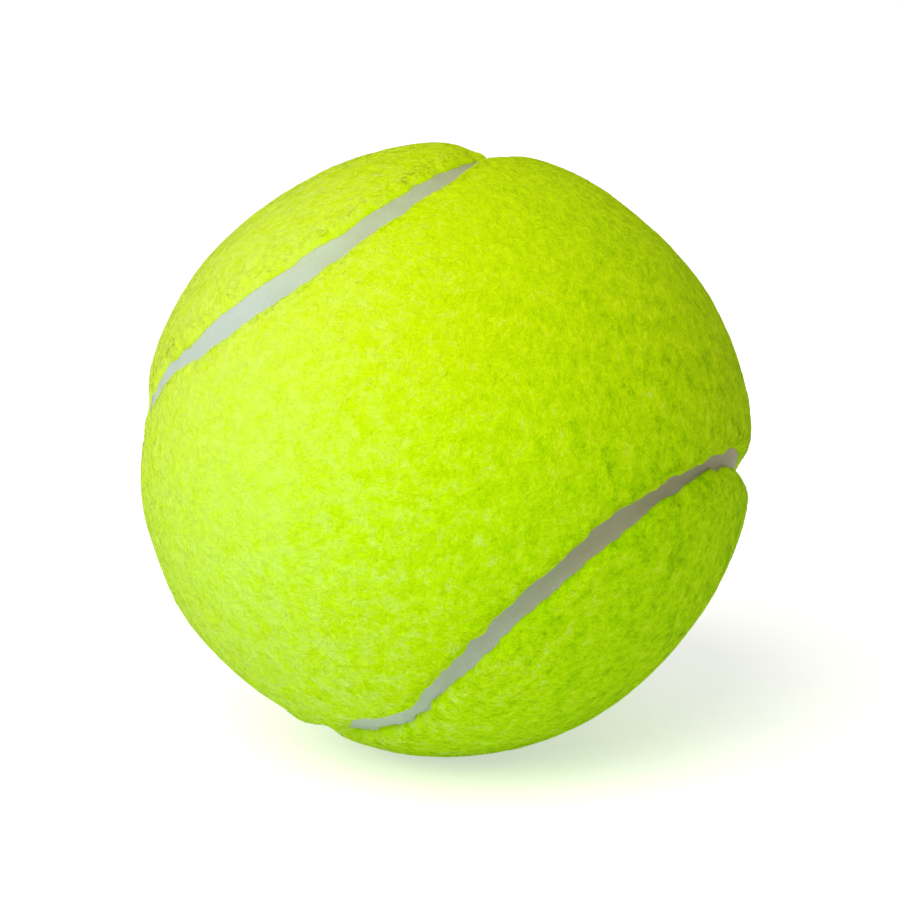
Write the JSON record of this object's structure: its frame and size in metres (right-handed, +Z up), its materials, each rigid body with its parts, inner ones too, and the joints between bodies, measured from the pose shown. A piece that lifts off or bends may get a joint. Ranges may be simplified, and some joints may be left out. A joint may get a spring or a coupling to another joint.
{
  "type": "tennis ball",
  "caption": "Hollow rubber ball covered by interlocking felt panels with a recessed rubber seam, for hitting, throwing and bouncing.",
  "frame": {"origin": "centre of the ball", "axes": "+Z up, square to the plane in which the halves of the core meet; the waist of panel a faces forwards (-Y), up and to +X, as the picture shows it"},
  "size_m": [0.0659, 0.066, 0.066],
  "materials": {
    "felt": "napped felt, matte, fluorescent yellow-green",
    "seam_rubber": "smooth moulded rubber, satin, pale grey",
    "core_rubber": "moulded rubber, matte, dark grey",
    "rubber_cement": "cured rubber cement, satin, amber"
  },
  "bodies": {
    "root": {"core_half_upper": "core_rubber", "core_half_lower": "core_rubber", "core_joint_cement": "rubber_cement", "panel_backing_a": "rubber_cement", "panel_backing_b": "rubber_cement", "felt_panel_a": "felt", "felt_panel_b": "felt", "seam_strip": "seam_rubber"}
  },
  "joints": []
}
